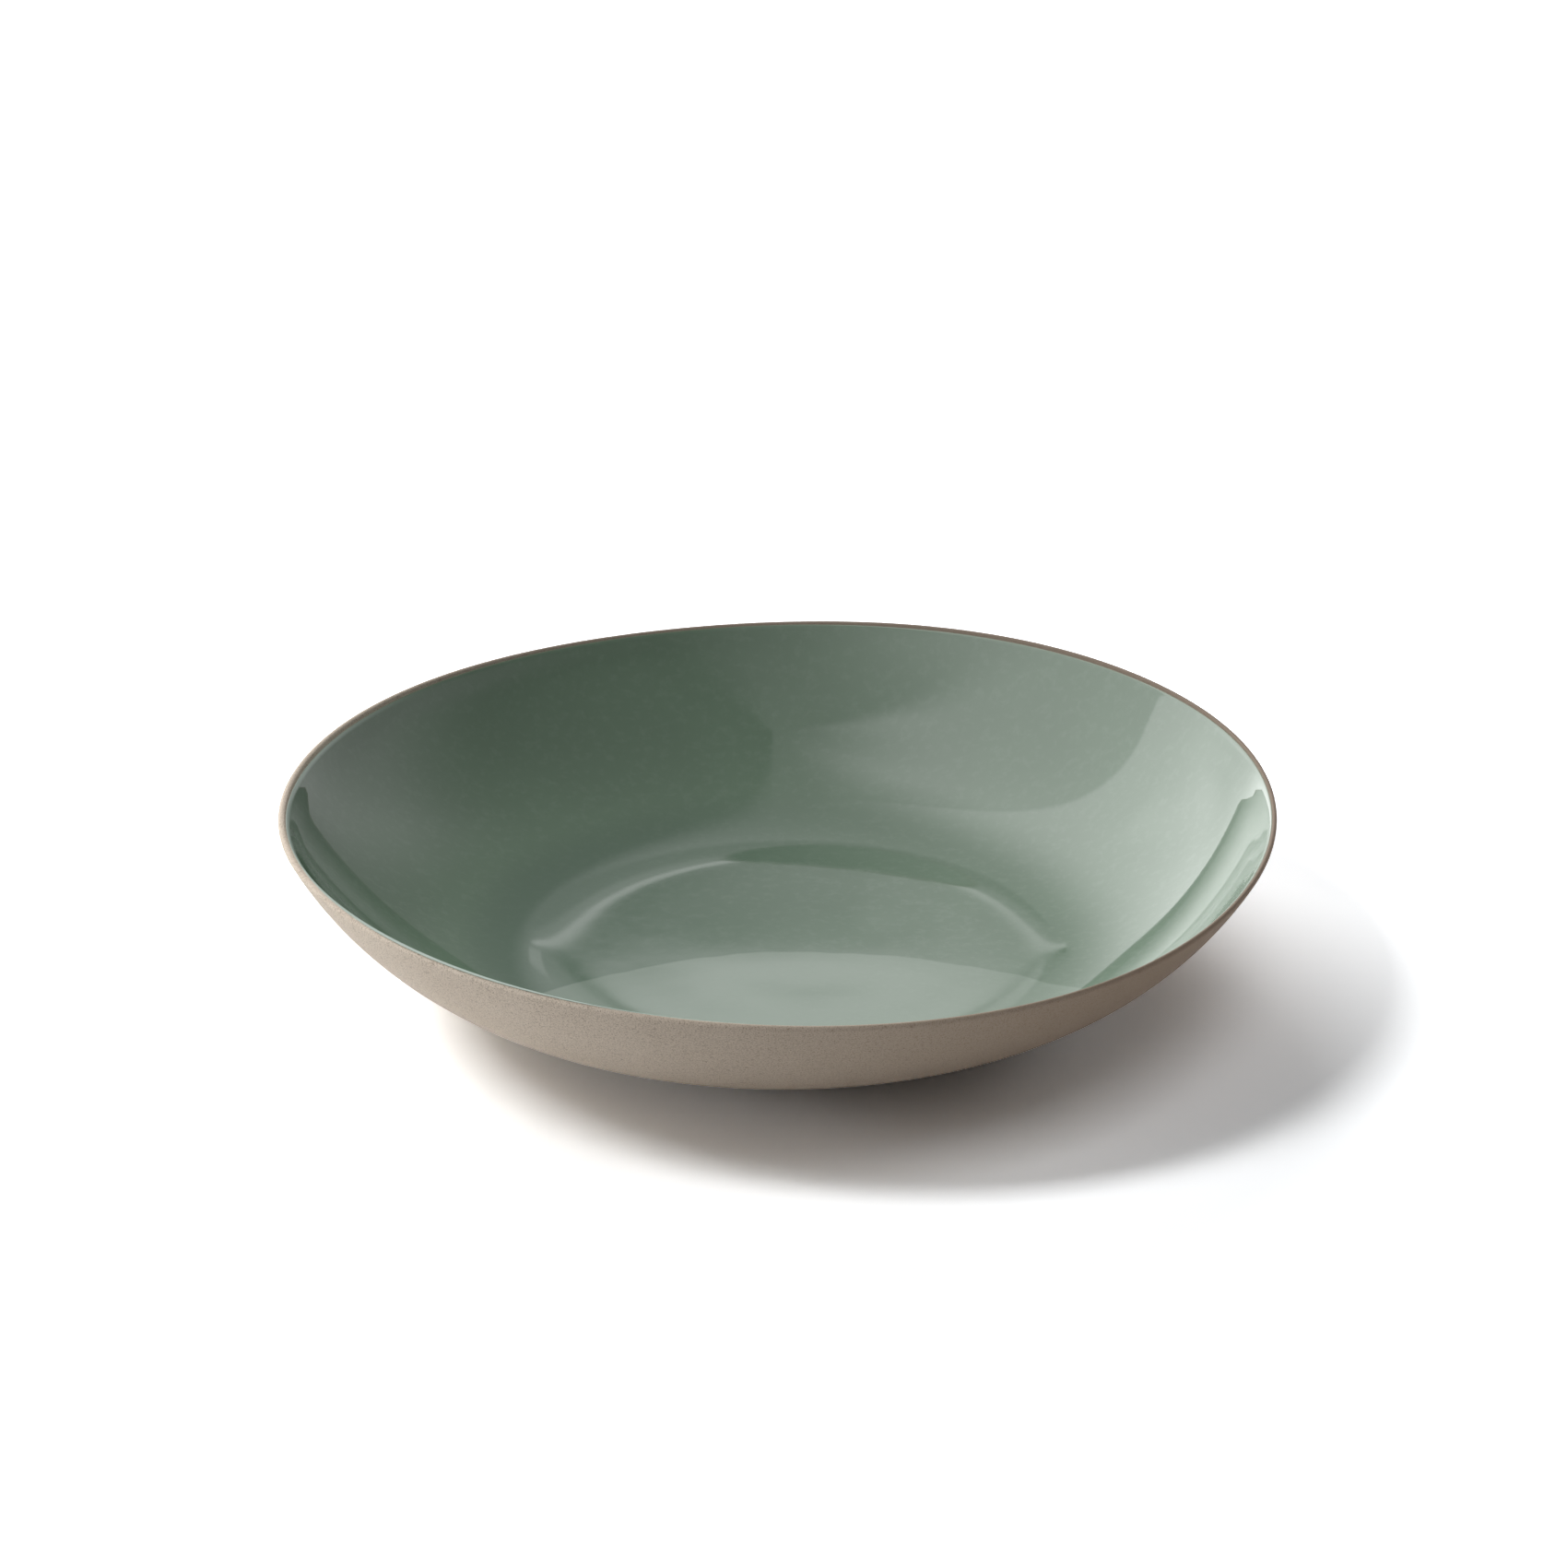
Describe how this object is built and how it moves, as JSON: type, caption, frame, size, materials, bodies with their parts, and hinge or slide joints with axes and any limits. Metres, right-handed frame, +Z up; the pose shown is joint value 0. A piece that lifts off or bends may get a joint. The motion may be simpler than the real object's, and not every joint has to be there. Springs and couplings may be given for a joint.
{
  "type": "deep plate",
  "caption": "Round deep plate with a gently uneven rim, bare clay outside on a low foot ring and glossy glaze inside, for soup, pasta or salad.",
  "frame": {"origin": "middle of the foot ring's resting face, on the table", "axes": "+Z up out of the dish, +Y away from the diner, +X to the diner's right"},
  "size_m": [0.2302, 0.2298, 0.0451],
  "materials": {
    "bare_stoneware": "matte, fine-grained, unglazed",
    "foot_stoneware": "matte, unglazed, worn smooth where it rests",
    "sage_glaze": "glossy sage green glaze"
  },
  "bodies": {
    "root": {"stoneware_body": "bare_stoneware", "foot_ring": "foot_stoneware", "inner_glaze": "sage_glaze"}
  },
  "joints": []
}
